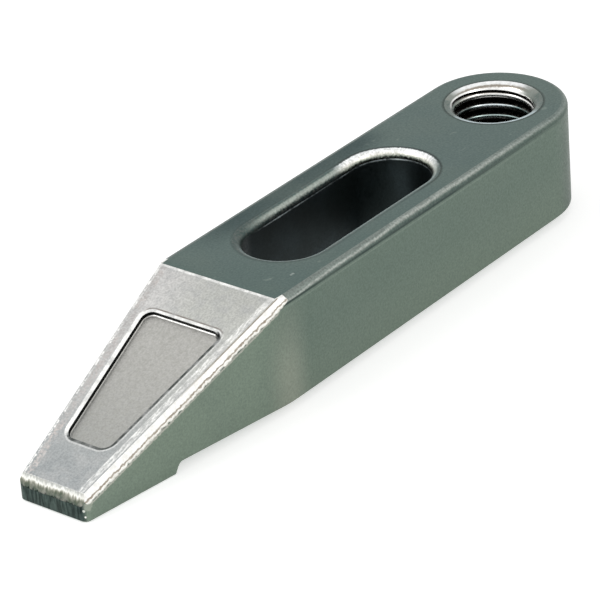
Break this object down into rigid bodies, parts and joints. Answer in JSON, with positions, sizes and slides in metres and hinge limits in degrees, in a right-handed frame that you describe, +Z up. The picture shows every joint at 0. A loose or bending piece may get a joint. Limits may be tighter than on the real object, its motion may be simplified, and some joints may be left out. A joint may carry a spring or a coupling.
{
  "type": "strap clamp",
  "caption": "Forged steel strap clamp with a sloping nose, a pad under its tip, a long stud slot and a tapped heel with a round end.",
  "frame": {"origin": "Below the middle of the length, on the plane of symmetry, level with the nose pad on which the clamp's tip rests.", "axes": "+X from the round heel to the nose, +Y across the strap, +Z up out of the top face, along the stud and the heel's bolt."},
  "size_m": [0.163, 0.0318, 0.0256],
  "materials": {
    "forged_steel": "satin"
  },
  "bodies": {
    "root": {"clamp_strap": "forged_steel"}
  },
  "joints": []
}
